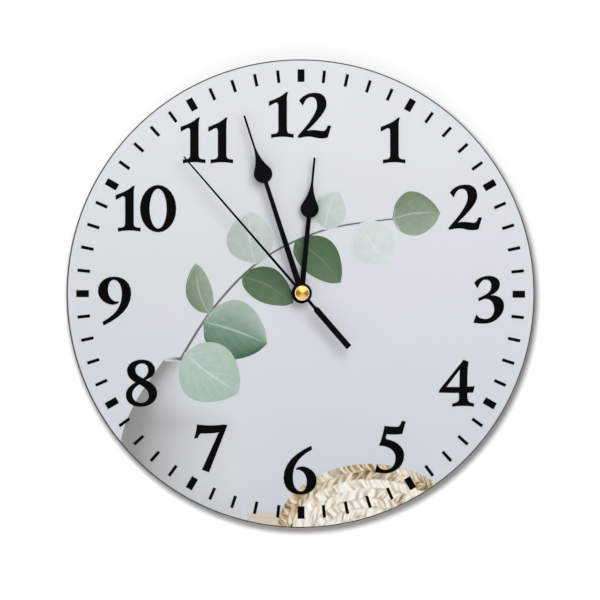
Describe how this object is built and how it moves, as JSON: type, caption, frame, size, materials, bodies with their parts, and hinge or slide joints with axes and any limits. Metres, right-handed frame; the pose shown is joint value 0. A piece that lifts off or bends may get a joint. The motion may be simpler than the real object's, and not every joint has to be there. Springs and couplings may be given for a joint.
{
  "type": "wall clock",
  "caption": "Round frameless wall clock: printed board, spade hour and minute hands, needle second hand, quartz movement with battery bay and hanger loop.",
  "frame": {"origin": "on the wall, at the movement's back face, on the hand axis", "axes": "+Z towards twelve o'clock, +X towards three o'clock, -Y out of the wall to the viewer"},
  "size_m": [0.25, 0.032, 0.25],
  "materials": {
    "board": "sealed fibreboard, darker at the cut edge",
    "print": "satin printed film",
    "hands": "semi-gloss black paint",
    "brass": "turned",
    "seal": "matt",
    "case": "fine spark-eroded texture",
    "gear_plastic": "natural acetal",
    "gear_plastic_dark": "tinted acetal",
    "steel": "bright",
    "magnet": "sintered",
    "copper": "enamelled copper wire",
    "circuit": "paper laminate",
    "resin": "black potting resin",
    "cell": "printed foil jacket",
    "knob": "moulded"
  },
  "bodies": {
    "clock": {"dial_board": "board", "dial_print": "print", "rubber_washer": "seal", "brass_washer": "brass", "hex_nut": "brass", "threaded_bushing": "brass", "movement_case": "case", "rear_cover": "case", "gear_bridge": "gear_plastic", "stator_plate": "steel", "coil_core": "steel", "coil_bobbin": "gear_plastic", "coil_winding": "copper", "circuit_board": "circuit", "quartz_crystal": "steel", "clock_chip": "resin", "positive_contact": "steel", "negative_contact": "steel"},
    "seconds": {"second_wheel": "gear_plastic", "second_arbor": "steel", "second_hand": "hands", "second_cap": "brass"},
    "rotor": {"rotor_pinion": "gear_plastic", "rotor_magnet": "magnet"},
    "intermediate": {"intermediate_wheel": "gear_plastic_dark"},
    "third": {"third_wheel": "gear_plastic"},
    "centre": {"centre_wheel": "gear_plastic_dark"},
    "minutes": {"cannon_pinion": "brass", "minute_hand": "hands", "minute_nut": "brass"},
    "motion": {"motion_wheel": "gear_plastic"},
    "hours": {"hour_wheel": "gear_plastic", "hour_hand": "hands"},
    "setter": {"setting_shaft": "gear_plastic", "setting_knob": "knob"},
    "battery": {"battery_cell": "cell"}
  },
  "joints": [
    {"name": "second_spin", "type": "hinge", "parent": "clock", "child": "seconds", "pos_m": [0, 0, 0], "axis": [0, 1, 0], "continuous": true},
    {"name": "third_spin", "type": "hinge", "parent": "clock", "child": "third", "pos_m": [0.00958, 0, 0.00349], "axis": [0, 1, 0], "continuous": true},
    {"name": "centre_spin", "type": "hinge", "parent": "clock", "child": "centre", "pos_m": [0, 0, 0], "axis": [0, 1, 0], "continuous": true},
    {"name": "intermediate_spin", "type": "hinge", "parent": "clock", "child": "intermediate", "pos_m": [-0.00296, 0, 0.00634], "axis": [0, 1, 0], "continuous": true},
    {"name": "rotor_spin", "type": "hinge", "parent": "clock", "child": "rotor", "pos_m": [-0.00737, 0, 0.01005], "axis": [0, 1, 0], "continuous": true},
    {"name": "minute_spin", "type": "hinge", "parent": "clock", "child": "minutes", "pos_m": [0, 0, 0], "axis": [0, 1, 0], "continuous": true},
    {"name": "motion_spin", "type": "hinge", "parent": "clock", "child": "motion", "pos_m": [-0.00886, 0, -0.00156], "axis": [0, 1, 0], "continuous": true},
    {"name": "hour_spin", "type": "hinge", "parent": "clock", "child": "hours", "pos_m": [0, 0, 0], "axis": [0, 1, 0], "continuous": true},
    {"name": "setter_spin", "type": "hinge", "parent": "clock", "child": "setter", "pos_m": [-0.01741, 0, -0.00156], "axis": [0, 1, 0], "continuous": true},
    {"name": "battery_slide", "type": "slide", "parent": "clock", "child": "battery", "axis": [0, 1, 0], "range_m": [0, 0.025]}
  ],
  "couplings": [
    {"joint": "third_spin", "follows": "second_spin", "ratio": -0.13333},
    {"joint": "centre_spin", "follows": "second_spin", "ratio": 0.016667},
    {"joint": "intermediate_spin", "follows": "second_spin", "ratio": -6},
    {"joint": "rotor_spin", "follows": "second_spin", "ratio": 30},
    {"joint": "motion_spin", "follows": "minute_spin", "ratio": -0.33333},
    {"joint": "hour_spin", "follows": "minute_spin", "ratio": 0.083333},
    {"joint": "setter_spin", "follows": "minute_spin", "ratio": 1.25}
  ]
}
